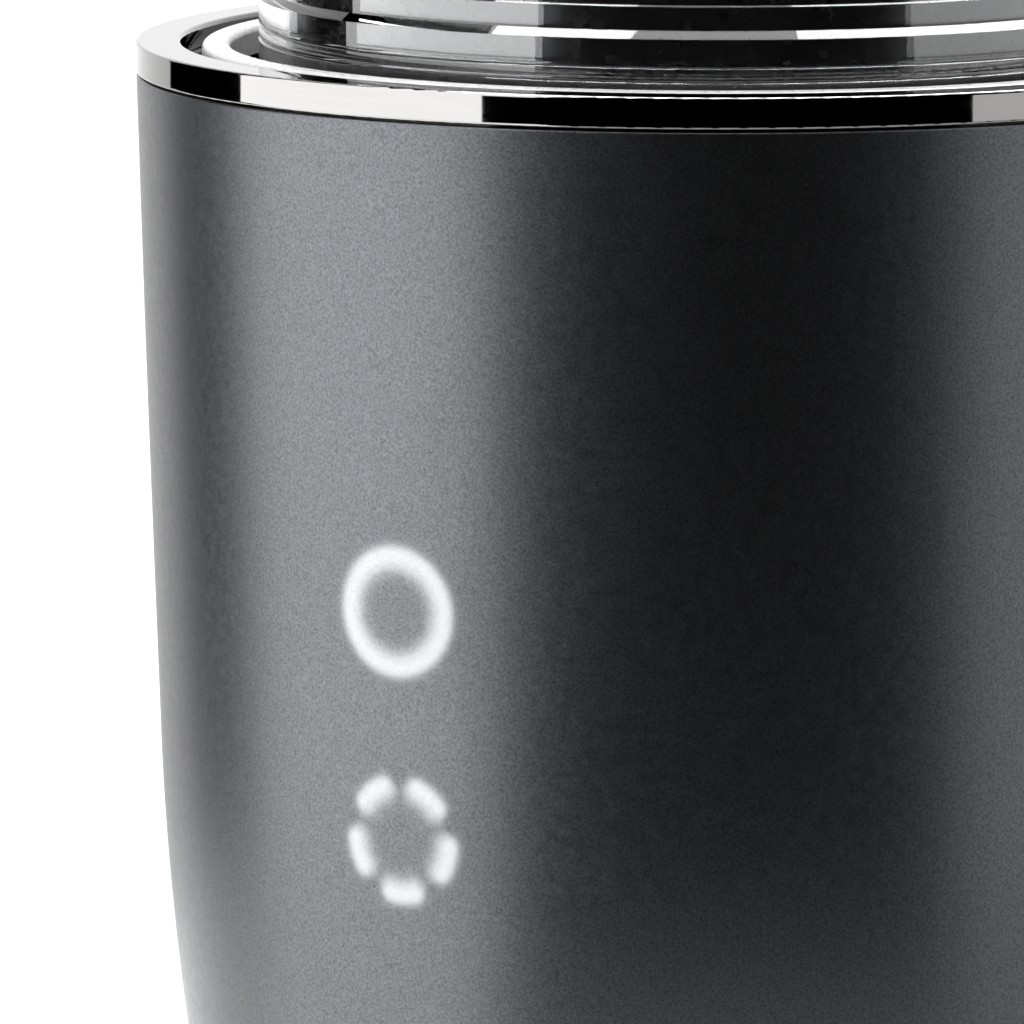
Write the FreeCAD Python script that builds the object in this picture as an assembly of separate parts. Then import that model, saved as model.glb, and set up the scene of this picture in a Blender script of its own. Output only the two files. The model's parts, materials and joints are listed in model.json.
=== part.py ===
import FreeCAD, Part
import math
import os

# Single-serve blender with a twist-lock cup.
# Millimetres. +Z is up, the origin is on the table under the axis, and the controls face -Y.

V = FreeCAD.Vector
UP = V(0, 0, 1)
ORIGIN = V(0, 0, 0)

# ---- driving dimensions ---------------------------------------------------------------------

TOP_Z = 180.0              # top plane of the trim ring above the table
TRIM_R = 67.5              # outer radius of the trim ring
TRIM_BAND = 3.6            # height of its bright band
TRIM_INNER_R = 62.2        # inner edge of its top face
SHELL_TOP_Z = TOP_Z - TRIM_BAND - 0.25
SHELL_RIM_Z = TOP_Z - 4.25 # height at which the wall reaches its rim radius
SHELL_TOP_R = 67.4
SHELL_BEND_Z = 98.0        # where the upper wall runs into the lower curve
SHELL_BEND_R = 64.75
SHELL_MID_BOW = 0.1        # how far the upper wall bulges past a straight line
SHELL_BEND_SLOPE = 0.040   # slope of the wall at the bend
SHELL_CURVE_R = 350.0      # radius of the lower curve
SHELL_BOTTOM_Z = 4.0
SHELL_WALL = 3.0

DOCK_R = 56.5              # inner radius of the dock well
DOCK_WALL = 2.5
DOCK_FLOOR_Z = 160.0
DOCK_FLOOR = 2.5
DOCK_FLANGE_Z = 176.5
DOCK_RING_R = 59.8
DOCK_RING_TOP_Z = TOP_Z - 0.2
DOCK_SCREW_AT_R = 61.4
DOCK_EAR_Z = 166.0
DOCK_EAR = 2.6
SEAL_R = 12.0

COLLAR_R = 53.2            # outside of the cup's collar
COLLAR_WALL = 3.1
COLLAR_BOTTOM_Z = 162.6
COLLAR_STEP_Z = TOP_Z + 6.0
COLLAR_STEP = 0.9          # bevel where the collar steps in
SHOULDER_Z = TOP_Z + 8.7
CUP_WALL = 3.0
CUP_FOOT_R = 48.5          # cup wall just above the shoulder
CUP_FOOT_Z = 197.5
CUP_END_R = 44.5           # cup wall where its closed end begins to round
CUP_TOP_Z = 402.0
CUP_CORNER = 20.0

LOCK_ANGLE = 25.0          # turn of the cup from dropped in to locked
TAB_ANGLES = (115.0, 235.0, 355.0)
TAB_HALF = 8.5             # half width of a lock tab, degrees
TAB_R = 56.2
TAB_LOW_Z = 161.8
TAB_TOP_Z = 165.8
LUG_LOW_Z = 166.2
LUG_TOP_Z = 169.0
PLUNGER_R = 1.3
PLUNGER_AT_R = 54.85
PLUNGER_TOP_Z = 164.0

RING_MEAN_R = 6.2          # touch rings on the front
RING_STROKE = 2.4
SEGMENTS = 5               # the pulse ring is split into this many
SEGMENT_STEP = 360 / SEGMENTS
SEGMENT_HALF = 25.0        # half width of a segment, degrees
LENS_DEPTH = 1.2
START_PIN_ANGLES = range(0, 360, 60)
PIN_R = 0.7
PIN_START = 0.7            # depth of a light pin's front end below the shell's crest
PIN_LENGTH = 6.3
START_RING_Z = TOP_Z - 59.8
PULSE_RING_Z = TOP_Z - 86.0

SHAFT_R = 4.0
RUNNING_GAP = 0.05
BEARING_R = 11.0
BEARING_H = 7.0
LOWER_BEARING_Z = 50.0
UPPER_BEARING_Z = 143.0
STACK_LOW_Z = 88.0
STACK_TOP_Z = 128.0
STACK_X = 42.0
STACK_Y = 38.0
YOKE = 8.0
BORE_R = 23.3
ARMATURE_R = 22.9
BOLT_X = 37.0
BOLT_Y = 33.0
MOUNT_R = 49.0
FAN_R = 38.0
FAN_BLADES = 11
ARMATURE_SLOTS = 12
WIRE_CHANNEL_R = 2.3
WIRE_CHANNEL_AT_R = ARMATURE_R - 4.0
COMMUTATOR_BARS = 24
COUPLING_TEETH = 12
QUARTERS = (0, 90, 180, 270)
DIAGONALS = (45, 135, 225, 315)

FOOT_AT_R = 36.0
BASE_SCREW_AT_R = 40.0
CORD_Z = 22.0
CORD_BORE_R = 3.6


# ---- helpers --------------------------------------------------------------------------------

def polar(radius, degrees, z=0.0):
    """Point at a radius and angle about Z."""
    angle = math.radians(degrees)
    return V(radius * math.cos(angle), radius * math.sin(angle), z)


def turn(shape, degrees):
    """Copy of a shape turned about Z."""
    copy = shape.copy()
    copy.rotate(ORIGIN, UP, degrees)
    return copy


def turned(wire):
    """Solid of revolution about Z from a closed wire in the XZ plane."""
    return Part.Face(wire).revolve(ORIGIN, UP, 360)


def rounded_wire(corners, place):
    """Closed wire through corners (a, b, fillet radius); place(a, b) gives the 3-D point."""
    count = len(corners)
    cuts = []
    for index, (a, b, radius) in enumerate(corners):
        here = V(a, b, 0)
        before = V(corners[index - 1][0], corners[index - 1][1], 0)
        after = V(corners[(index + 1) % count][0], corners[(index + 1) % count][1], 0)
        if radius <= 0:
            cuts.append((here, None, here))
            continue
        back = (before - here).normalize()
        ahead = (after - here).normalize()
        half = back.getAngle(ahead) / 2
        reach = radius / math.tan(half)
        bisector = (back + ahead).normalize()
        middle = here + bisector * (radius / math.sin(half) - radius)
        cuts.append((here + back * reach, middle, here + ahead * reach))
    edges = []
    for index, (start, middle, end) in enumerate(cuts):
        if middle is not None:
            points = [place(p.x, p.y) for p in (start, middle, end)]
            edges.append(Part.Arc(*points).toShape())
        following = cuts[(index + 1) % count][0]
        if end.distanceToPoint(following) > 1e-6:
            edges.append(Part.LineSegment(place(end.x, end.y), place(following.x, following.y)).toShape())
    return Part.Wire(edges)


def lathe(*corners):
    """Solid of revolution from corners (radius, z) or (radius, z, fillet)."""
    full = [corner if len(corner) == 3 else (corner[0], corner[1], 0) for corner in corners]
    return turned(rounded_wire(full, lambda a, b: V(a, 0, b)))


def ring(inner, outer, low, high, x=0.0, y=0.0):
    """Plain ring, or a disc when inner is 0, standing on Z."""
    body = Part.makeCylinder(outer, high - low, V(x, y, low))
    if inner > 0:
        body = body.cut(Part.makeCylinder(inner, high - low, V(x, y, low)))
    return body


def sector(inner, outer, low, high, start, end):
    """Part of a ring between two angles in degrees."""
    corners = [polar(inner, start), polar(outer, start), polar(outer, end), polar(inner, end)]
    middle = (start + end) / 2
    edges = [Part.LineSegment(corners[0], corners[1]).toShape(),
             Part.Arc(corners[1], polar(outer, middle), corners[2]).toShape(),
             Part.LineSegment(corners[2], corners[3]).toShape(),
             Part.Arc(corners[3], polar(inner, middle), corners[0]).toShape()]
    face = Part.Face(Part.Wire(edges))
    face.translate(V(0, 0, low))
    return face.extrude(V(0, 0, high - low))


def block(x0, x1, y0, y1, z0, z1):
    """Box between two corners."""
    return Part.makeBox(x1 - x0, y1 - y0, z1 - z0, V(x0, y0, z0))


def rounded_block(x0, x1, y0, y1, z0, z1, radius):
    """Box with its four upright edges rounded."""
    corners = [(x0, y0, radius), (x1, y0, radius), (x1, y1, radius), (x0, y1, radius)]
    face = Part.Face(rounded_wire(corners, lambda a, b: V(a, b, z0)))
    return face.extrude(V(0, 0, z1 - z0))


def toothed(root, tip, root_half, tip_half, teeth, low, high):
    """Star prism with straight-sided teeth; half widths in degrees."""
    points = []
    for index in range(teeth):
        middle = index * 360.0 / teeth
        points.append(polar(root, middle - root_half, low))
        points.append(polar(tip, middle - tip_half, low))
        points.append(polar(tip, middle + tip_half, low))
        points.append(polar(root, middle + root_half, low))
    points.append(points[0])
    return Part.Face(Part.makePolygon(points)).extrude(V(0, 0, high - low))


def coil_spring(radius, wire, pitch, low, high, x, y):
    """Round-wire compression spring standing on Z."""
    spine = Part.makeHelix(pitch, high - low - 2 * wire, radius)
    spine.translate(V(0, 0, low + wire))
    section = Part.Wire(Part.makeCircle(wire, V(radius, 0, low + wire), V(0, 1, 0)))
    body = Part.Wire(spine.Edges).makePipeShell([section], True, True)
    body.translate(V(x, y, 0))
    return body


def join(shapes):
    """Fuse a list of shapes into one."""
    whole = shapes[0]
    if len(shapes) > 1:
        whole = whole.fuse(shapes[1:])
    return whole.removeSplitter()


def screw(x, y, tip_z, head_z, shank_r, head_r, head_h):
    """Pan-head screw pointing down from its head at head_z."""
    body = Part.makeCylinder(shank_r, head_z - tip_z, V(x, y, tip_z))
    head = Part.makeCylinder(head_r, head_h, V(x, y, head_z))
    top = head_z + head_h
    body = body.fuse(head)
    deep = head_h * 0.55
    body = body.cut(block(x - head_r * 0.7, x + head_r * 0.7, y - 0.4, y + 0.4, top - deep, top))
    body = body.cut(block(x - 0.4, x + 0.4, y - head_r * 0.7, y + head_r * 0.7, top - deep, top))
    return body


def flipped(shape, z):
    """Copy of a shape turned upside down about the height z."""
    copy = shape.copy()
    copy.rotate(V(0, 0, z), V(1, 0, 0), 180)
    return copy


# ---- shell ----------------------------------------------------------------------------------

def wall_radius(z):
    """Outside radius of the shell at a height."""
    if z >= SHELL_BEND_Z:
        share = (z - SHELL_BEND_Z) / (SHELL_RIM_Z - SHELL_BEND_Z)
        straight = SHELL_BEND_R + (SHELL_TOP_R - SHELL_BEND_R) * share
        return straight + 4 * SHELL_MID_BOW * share * (1 - share)
    centre_r = SHELL_BEND_R - SHELL_CURVE_R * math.cos(SHELL_BEND_SLOPE)
    centre_z = SHELL_BEND_Z + SHELL_CURVE_R * math.sin(SHELL_BEND_SLOPE)
    return centre_r + math.sqrt(SHELL_CURVE_R ** 2 - (z - centre_z) ** 2)


def shell_core(inset, low, high, low_round=0.0, high_round=0.0):
    """Solid inside the shell's outline, moved in by inset, with its two rims rounded."""
    def point(z):
        return V(wall_radius(z) - inset, 0, z)

    def rim(z, radius, inward):
        beside = point(z + inward * radius)
        under = V(beside.x - radius, 0, z)
        share = radius * (1 - math.sqrt(0.5))
        return beside, V(beside.x - share, 0, z + inward * share), under

    edges = []
    low_start = point(low)
    low_axis = low_start
    high_end = point(high)
    high_axis = high_end
    if low_round > 0:
        low_start, middle, low_axis = rim(low, low_round, 1)
        edges.append(Part.Arc(low_axis, middle, low_start).toShape())
    if high_round > 0:
        high_end, middle, high_axis = rim(high, high_round, -1)
        edges.append(Part.Arc(high_end, middle, high_axis).toShape())
    lower_mid = point((low_start.z + SHELL_BEND_Z) / 2)
    upper_mid = point((SHELL_BEND_Z + high_end.z) / 2)
    edges.append(Part.Arc(low_start, lower_mid, point(SHELL_BEND_Z)).toShape())
    edges.append(Part.Arc(point(SHELL_BEND_Z), upper_mid, high_end).toShape())
    edges.append(Part.LineSegment(high_axis, V(0, 0, high)).toShape())
    edges.append(Part.LineSegment(V(0, 0, high), V(0, 0, low)).toShape())
    edges.append(Part.LineSegment(V(0, 0, low), low_axis).toShape())
    return turned(Part.Wire(Part.sortEdges(edges)[0]))


def front_ring(z, radius_low, radius_high):
    """Ring-shaped prism lying along Y in front of the axis."""
    start = V(0, -SHELL_TOP_R - 2, z)
    depth = 30.0
    outer = Part.makeCylinder(radius_high, depth, start, V(0, 1, 0))
    return outer.cut(Part.makeCylinder(radius_low, depth, start, V(0, 1, 0)))


def skin(depth):
    """Outer layer of the shell wall around the controls."""
    low = PULSE_RING_Z - 20
    high = START_RING_Z + 20
    return shell_core(0, low, high).cut(shell_core(depth, low, high))


def segment_angles():
    """Directions of the pulse ring's segments, the first one at the bottom."""
    return [-90 + SEGMENT_STEP * index for index in range(SEGMENTS)]


def ring_prisms():
    """The start ring, and the segments of the pulse ring."""
    half = RING_STROKE / 2
    start = front_ring(START_RING_Z, RING_MEAN_R - half, RING_MEAN_R + half)
    whole = front_ring(PULSE_RING_Z, RING_MEAN_R - half, RING_MEAN_R + half)
    segments = []
    reach = 20.0
    side = reach * math.tan(math.radians(SEGMENT_HALF))
    for angle in segment_angles():
        wedge = [V(0, 0, 0), V(reach, 0, -side), V(reach, 0, side)]
        face = Part.Face(Part.makePolygon(wedge + [wedge[0]]))
        prism = face.extrude(V(0, 30, 0))
        prism.rotate(ORIGIN, V(0, -1, 0), angle)
        prism.translate(V(0, -SHELL_TOP_R - 2, PULSE_RING_Z))
        segments.append(whole.common(prism))
    return start, segments


def light_pins(z, angles):
    """Thin clear pins that carry light through the wall behind a ring."""
    pins = []
    for angle in angles:
        x = RING_MEAN_R * math.cos(math.radians(angle))
        up = RING_MEAN_R * math.sin(math.radians(angle))
        start = V(x, -wall_radius(z) + PIN_START, z + up)
        pins.append(Part.makeCylinder(PIN_R, PIN_LENGTH, start, V(0, 1, 0)))
    return pins


def lenses():
    """Start ring lens and pulse ring lens, flush with the shell."""
    start, segments = ring_prisms()
    layer = skin(LENS_DEPTH)
    start_lens = join([start.common(layer)] + light_pins(START_RING_Z, START_PIN_ANGLES))
    pulse = []
    for pin, segment in zip(light_pins(PULSE_RING_Z, segment_angles()), segments):
        pulse.append(join([segment.common(layer), pin]))
    return start_lens, Part.makeCompound(pulse)


def lens_pockets():
    """What the shell gives up for the lenses and their pins."""
    start, segments = ring_prisms()
    floor = shell_core(LENS_DEPTH, PULSE_RING_Z - 20, START_RING_Z + 20)
    pockets = [prism.cut(floor) for prism in [start] + segments]
    return pockets + light_pins(START_RING_Z, START_PIN_ANGLES) + light_pins(PULSE_RING_Z, segment_angles())


def shell_fixings():
    """Bosses, ribs and rails inside the shell, not yet trimmed to its outline."""
    pieces = []
    for angle in DIAGONALS:
        low_post = ring(1.4, 4.0, 7.4, 22.0, BASE_SCREW_AT_R, 0)
        low_rib = block(BASE_SCREW_AT_R + 3, 62, -1.2, 1.2, 7.4, 22.0)
        pieces.append(turn(low_post.fuse(low_rib), angle))
        top_post = block(DOCK_R + DOCK_WALL + 0.4, 66.0, -4.5, 4.5, 154.0, DOCK_EAR_Z - 0.1)
        top_post = top_post.cut(ring(0, 1.0, 153.0, DOCK_EAR_Z, DOCK_SCREW_AT_R, 0))
        pieces.append(turn(top_post, angle))
    for angle in QUARTERS:
        post = ring(0, 6.0, 44.0, 54.0, MOUNT_R, 0).fuse(block(MOUNT_R, 62, -3, 3, 44.0, 54.0))
        pieces.append(turn(post.cut(ring(0, 1.6, 44.0, 54.0, MOUNT_R, 0)), angle))
    for side in (-1, 1):
        low_x, high_x = sorted((side * 24.2, side * 28.0))
        slot_low, slot_high = sorted((side * 24.0, side * 26.1))
        rail = block(low_x, high_x, 43.5, 66, 68.0, 118.0)
        pieces.append(rail.cut(block(slot_low, slot_high, 45.9, 47.7, 67.0, 117.0)))
        post = Part.makeCylinder(2.6, 9.0, V(side * 7.6, -65.0, 107.0), V(0, 1, 0))
        pieces.append(post.cut(Part.makeCylinder(0.9, 5.5, V(side * 7.6, -61.5, 107.0), V(0, 1, 0))))
    return pieces


def outer_shell():
    """Tapered one-piece body shell."""
    full = shell_core(0, SHELL_BOTTOM_Z, SHELL_TOP_Z, 2.2, 0.4)
    hollow = shell_core(SHELL_WALL, SHELL_BOTTOM_Z - 1, SHELL_TOP_Z + 1)
    wall = full.cut(hollow)
    limit = shell_core(SHELL_WALL / 2, SHELL_BOTTOM_Z, SHELL_TOP_Z)
    fixings = [piece.common(limit) for piece in shell_fixings()]
    wall = wall.fuse(fixings)
    wall = wall.cut(Part.makeCylinder(7.0, 20.0, V(0, 45, CORD_Z), V(0, 1, 0)))
    for pocket in lens_pockets():
        wall = wall.cut(pocket)
    return wall.removeSplitter()


def trim_ring():
    """Bright ring round the shell's top edge, with a skirt that plugs into the shell."""
    band_low = TOP_Z - TRIM_BAND
    return lathe((TRIM_INNER_R, TOP_Z, 0.5), (TRIM_R, TOP_Z, 0.3), (TRIM_R, band_low, 0.3),
                 (64.2, band_low), (64.2, 171.0), (62.5, 171.0), (62.5, 177.2), (TRIM_INNER_R, 177.5))


# ---- dock -----------------------------------------------------------------------------------

def dock_body():
    """Well that the cup stands in, with lock lugs over the tab path."""
    outer = DOCK_R + DOCK_WALL
    under = DOCK_FLOOR_Z - DOCK_FLOOR
    body = lathe((SEAL_R, under), (outer, under, 1.5), (outer, 173.8), (61.9, 173.8),
                 (61.9, DOCK_FLANGE_Z, 0.4), (DOCK_R, DOCK_FLANGE_Z), (DOCK_R, DOCK_FLOOR_Z, 1.0),
                 (30.0, DOCK_FLOOR_Z), (28.5, DOCK_FLOOR_Z + 1.2, 0.4), (26.5, DOCK_FLOOR_Z + 1.2, 0.4),
                 (25.0, DOCK_FLOOR_Z), (SEAL_R, DOCK_FLOOR_Z))
    extras = []
    for angle in TAB_ANGLES:
        lug_start = angle - LOCK_ANGLE - 9.5
        lug_end = angle - TAB_HALF - 2.0
        extras.append(sector(DOCK_R - 2.7, DOCK_R + 1, LUG_LOW_Z, LUG_TOP_Z, lug_start, lug_end))
        centre = polar(PLUNGER_AT_R, angle - LOCK_ANGLE)
        extras.append(ring(0, 3.6, 153.0, under + 0.5, centre.x, centre.y))
    for angle in DIAGONALS:
        ear = block(outer - 1, 63.6, -4.2, 4.2, DOCK_EAR_Z, DOCK_EAR_Z + DOCK_EAR)
        extras.append(turn(ear, angle))
    body = body.fuse(extras)
    holes = []
    for angle in TAB_ANGLES:
        centre = polar(PLUNGER_AT_R, angle - LOCK_ANGLE)
        holes.append(ring(0, PLUNGER_R + 0.3, 150.0, DOCK_FLOOR_Z + 1, centre.x, centre.y))
    for angle in DIAGONALS:
        holes.append(turn(ring(0, 1.3, DOCK_EAR_Z, DOCK_EAR_Z + DOCK_EAR, DOCK_SCREW_AT_R, 0), angle))
    return body.cut(holes).removeSplitter()


def dock_ring():
    """Pale ring on the rim of the dock."""
    return lathe((DOCK_R, DOCK_FLANGE_Z), (DOCK_RING_R, DOCK_FLANGE_Z), (DOCK_RING_R, DOCK_RING_TOP_Z, 0.8),
                 (DOCK_R, DOCK_RING_TOP_Z, 0.8))


def dock_screws():
    """Screws that hold the dock to the shell."""
    one = screw(DOCK_SCREW_AT_R, 0, 158.0, DOCK_EAR_Z + DOCK_EAR, 0.95, 1.9, 1.3)
    return Part.makeCompound([turn(one, angle) for angle in DIAGONALS])


def shaft_seal():
    """Lip seal round the motor shaft in the dock floor."""
    inner = SHAFT_R + RUNNING_GAP
    return lathe((SEAL_R, 157.5), (SEAL_R, 160.8, 0.4), (7.5, 160.8), (6.0, 161.6), (inner, 161.6),
                 (inner, 160.2), (6.0, 159.0), (6.0, 157.5))


def plunger(angle, foot_z):
    """Interlock plunger: a domed pin with a flange under the dock floor, reaching down to foot_z."""
    centre = polar(PLUNGER_AT_R, angle - LOCK_ANGLE)
    pin = lathe((0, foot_z), (PLUNGER_R, foot_z, 0.3), (PLUNGER_R, 150.8), (2.9, 150.8, 0.2),
                (2.9, 152.4, 0.2), (PLUNGER_R, 152.4), (PLUNGER_R, PLUNGER_TOP_Z, 1.0), (0, PLUNGER_TOP_Z))
    pin.translate(centre)
    return pin


def plunger_spring(angle):
    """Return spring under a plunger's flange."""
    centre = polar(PLUNGER_AT_R, angle - LOCK_ANGLE)
    return coil_spring(2.2, 0.3, 1.5, 142.2, 150.6, centre.x, centre.y)


def spring_caps():
    """Cups clipped under the plunger guides to carry the springs."""
    caps = []
    for angle in TAB_ANGLES:
        centre = polar(PLUNGER_AT_R, angle - LOCK_ANGLE)
        cap = lathe((1.7, 140.6), (4.9, 140.6, 0.5), (4.9, 156.6), (3.7, 156.6), (3.7, 142.0), (1.7, 142.0))
        cap.translate(centre)
        caps.append(cap)
    return Part.makeCompound(caps)


# ---- underside and cord entry ---------------------------------------------------------------

def base_plate():
    """Bottom plate with cooling slots and a rolled rim."""
    plate_r = wall_radius(SHELL_BOTTOM_Z) - SHELL_WALL - 0.4
    plate = lathe((0, 4.2), (plate_r, 4.2, 0.5), (plate_r, 7.2, 0.4), (0, 7.2))
    holes = []
    for radius, half, count in ((14.0, 14.0, 8), (20.0, 15.0, 8), (26.0, 16.0, 8)):
        for index in range(count):
            middle = index * 360.0 / count + 22.5
            holes.append(sector(radius - 1.3, radius + 1.3, 3, 8, middle - half, middle + half))
    for angle in DIAGONALS:
        at = polar(BASE_SCREW_AT_R, angle)
        holes.append(ring(0, 1.7, 3, 8, at.x, at.y))
        holes.append(ring(0, 3.4, 3, 5.4, at.x, at.y))
    for angle in QUARTERS:
        at = polar(FOOT_AT_R, angle)
        holes.append(ring(0, 2.6, 3, 8, at.x, at.y))
    plate = plate.cut(holes)
    posts = [ring(1.0, 2.8, 7.2, 14.0, side * 11.0, 34.0) for side in (-1, 1)]
    return plate.fuse(posts).removeSplitter()


def rubber_feet():
    """Four push-in feet."""
    foot = lathe((0, 0), (8.0, 0, 1.0), (8.6, 4.2, 0.3), (2.5, 4.2), (2.5, 7.2), (3.3, 7.2),
                 (3.0, 8.6, 0.3), (0, 8.6))
    feet = []
    for angle in QUARTERS:
        one = foot.copy()
        one.translate(polar(FOOT_AT_R, angle))
        feet.append(one)
    return Part.makeCompound(feet)


def base_screws():
    """Screws through the bottom plate into the shell."""
    one = flipped(screw(0, 0, -14.0, -2.0, 1.35, 3.1, 1.6), 0)
    one.translate(polar(BASE_SCREW_AT_R, 0) + V(0, 0, 3.4))
    return Part.makeCompound([turn(one, angle) for angle in DIAGONALS])


def cord_grommet():
    """Rubber sleeve in the rear wall, with an open bore for the cord."""
    outside = wall_radius(CORD_Z)
    sleeve = lathe((CORD_BORE_R, 0), (8.6, 0, 0.6), (8.6, 2.4), (6.9, 2.4), (6.9, 8.4), (8.6, 8.4),
                   (8.6, 10.8, 0.8), (6.0, 13.6, 0.6), (CORD_BORE_R, 13.6))
    sleeve.rotate(ORIGIN, V(1, 0, 0), -90)
    sleeve.translate(V(0, outside - 8.6, CORD_Z))
    waist = ring(0, 14.0, 0, 30).cut(ring(0, 6.9, 0, 30))
    waist.rotate(ORIGIN, V(1, 0, 0), -90)
    waist.translate(V(0, 40, CORD_Z))
    limit = shell_core(0, SHELL_BOTTOM_Z, SHELL_TOP_Z).cut(shell_core(SHELL_WALL, 3, SHELL_TOP_Z))
    return sleeve.cut(limit.common(waist))


def cord_clamp():
    """Saddle that holds the cord inside, screwed to two posts."""
    bar = block(-14.0, 14.0, 31.0, 37.0, 14.0, 17.0)
    for side in (-1, 1):
        bar = bar.cut(ring(0, 1.6, 13.0, 18.0, side * 11.0, 34.0))
    hump = Part.makeCylinder(6.6, 6.0, V(0, 31.0, CORD_Z), V(0, 1, 0))
    hump = hump.common(block(-8, 8, 31, 37, 14.0, CORD_Z - 1.0))
    bore = Part.makeCylinder(CORD_BORE_R + 0.3, 10.0, V(0, 29.0, CORD_Z), V(0, 1, 0))
    return bar.fuse(hump).cut(bore).removeSplitter()


def clamp_screws():
    """Two screws of the cord clamp."""
    pair = [screw(side * 11.0, 34.0, 8.0, 17.0, 0.95, 2.4, 1.6) for side in (-1, 1)]
    return Part.makeCompound(pair)


# ---- controls inside ------------------------------------------------------------------------

def touch_board():
    """Board behind the two rings with a small lamp behind each light pin."""
    board = block(-11.0, 11.0, -56.0, -54.4, 84.0, 130.0)
    for side in (-1, 1):
        board = board.cut(Part.makeCylinder(1.1, 6.0, V(side * 7.6, -58.0, 107.0), V(0, 1, 0)))
    lamps = []
    for z, angles in ((START_RING_Z, START_PIN_ANGLES), (PULSE_RING_Z, segment_angles())):
        for angle in angles:
            x = RING_MEAN_R * math.cos(math.radians(angle))
            up = RING_MEAN_R * math.sin(math.radians(angle))
            lamps.append(block(x - 0.8, x + 0.8, -56.8, -56.0, z + up - 0.8, z + up + 0.8))
    plug = block(-5.0, 5.0, -54.4, -49.5, 86.0, 91.0)
    return board.fuse(lamps + [plug]).removeSplitter()


def touch_board_screws():
    """Two small screws that hold the touch board."""
    pair = []
    for side in (-1, 1):
        one = screw(0, 0, -4.2, 1.6, 0.85, 1.7, 1.2)
        one.rotate(ORIGIN, V(1, 0, 0), -90)
        one.translate(V(side * 7.6, -56.0, 107.0))
        pair.append(one)
    return Part.makeCompound(pair)


def control_board():
    """Power board in rails at the rear, with its relay, capacitor and terminals."""
    board = block(-26.0, 26.0, 46.0, 47.6, 68.5, 116.0)
    relay = rounded_block(-20.0, -5.0, 47.6, 53.0, 92.0, 108.0, 1.0)
    capacitor = Part.makeCylinder(4.2, 5.4, V(4.0, 47.6, 102.0), V(0, 1, 0))
    choke = Part.makeCylinder(5.0, 5.0, V(14.0, 47.6, 84.0), V(0, 1, 0))
    choke = choke.cut(Part.makeCylinder(1.8, 6.0, V(14.0, 49.0, 84.0), V(0, 1, 0)))
    terminals = block(-18.0, 0.0, 47.6, 53.5, 71.0, 78.0)
    for index in range(3):
        terminals = terminals.cut(Part.makeCylinder(1.7, 4.0, V(-15.0 + 6 * index, 50.5, 74.5), V(0, 1, 0)))
    return board.fuse([relay, capacitor, choke, terminals]).removeSplitter()


def at_first_plunger(body):
    """Move a body from the plunger's own frame, +Y outward, to the first plunger."""
    angle = TAB_ANGLES[0] - LOCK_ANGLE
    body.rotate(ORIGIN, UP, angle - 90)
    body.translate(polar(PLUNGER_AT_R, angle))
    return body


def interlock_switch():
    """Microswitch under the first plunger, with its lever."""
    case = block(-10.0, 10.0, -5.0, 1.4, 124.0, 134.0)
    for x in (-5.0, 5.0):
        case = case.cut(Part.makeCylinder(1.2, 8.0, V(x, -5.5, 127.0), V(0, 1, 0)))
    legs = [block(x - 1.0, x + 1.0, -1.6, -0.8, 119.0, 124.0) for x in (-7.0, 0.0, 7.0)]
    lever = block(-8.0, 8.0, -1.8, 1.2, 135.6, 136.0).fuse(block(-8.0, -7.4, -1.8, 1.2, 134.0, 136.0))
    return at_first_plunger(case.fuse(legs + [lever]).removeSplitter())


def switch_bracket():
    """Angle under the dock floor that carries the microswitch."""
    plate = block(-9.5, 9.5, -6.6, -5.0, 122.0, 157.5)
    foot = block(-9.5, 9.5, -11.0, -5.0, 156.1, 157.5)
    return at_first_plunger(plate.fuse(foot).removeSplitter())


# ---- motor ----------------------------------------------------------------------------------

def stator_core():
    """Laminated two-pole stack."""
    outer = rounded_block(-STACK_X, STACK_X, -STACK_Y, STACK_Y, STACK_LOW_Z, STACK_TOP_Z, 9.0)
    window = rounded_block(-STACK_X + YOKE, STACK_X - YOKE, -STACK_Y + YOKE, STACK_Y - YOKE,
                           STACK_LOW_Z, STACK_TOP_Z, 6.0)
    yoke = outer.cut(window)
    poles = []
    for angle in (0, 180):
        shoe = sector(BORE_R, BORE_R + 4.0, STACK_LOW_Z, STACK_TOP_Z, -58, 58)
        neck = block(BORE_R + 2.0, STACK_X - YOKE + 1, -12.0, 12.0, STACK_LOW_Z, STACK_TOP_Z)
        neck = neck.cut(ring(0, BORE_R + 2.0, STACK_LOW_Z, STACK_TOP_Z))
        poles.append(turn(shoe.fuse(neck), angle))
    body = yoke.fuse(poles)
    holes = [ring(0, 2.3, STACK_LOW_Z, STACK_TOP_Z, sx * BOLT_X, sy * BOLT_Y)
             for sx in (-1, 1) for sy in (-1, 1)]
    return body.cut(holes).removeSplitter()


def field_coils():
    """Two wound coils, one round each pole."""
    coils = []
    for side in (-1, 1):
        low_x, high_x = sorted((side * (BORE_R + 4.4), side * (STACK_X - YOKE - 0.4)))
        loop = block(low_x, high_x, -24.0, 24.0, STACK_LOW_Z - 7.5, STACK_TOP_Z + 7.5)
        loop = loop.makeFillet(2.2, [edge for edge in loop.Edges
                                     if abs(edge.BoundBox.XLength - abs(high_x - low_x)) < 1e-6])
        hole = block(low_x, high_x, -12.3, 12.3, STACK_LOW_Z - 0.4, STACK_TOP_Z + 0.4)
        coils.append(loop.cut(hole))
    return Part.makeCompound(coils)


def bearing(low):
    """Ball bearing drawn as races with a shielded gap."""
    inner = SHAFT_R + RUNNING_GAP
    high = low + BEARING_H
    return lathe((inner, low, 0.3), (6.2, low), (6.2, low + 0.5), (8.9, low + 0.5), (8.9, low),
                 (BEARING_R, low, 0.3), (BEARING_R, high, 0.3), (8.9, high), (8.9, high - 0.5),
                 (6.2, high - 0.5), (6.2, high), (inner, high, 0.3))


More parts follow.
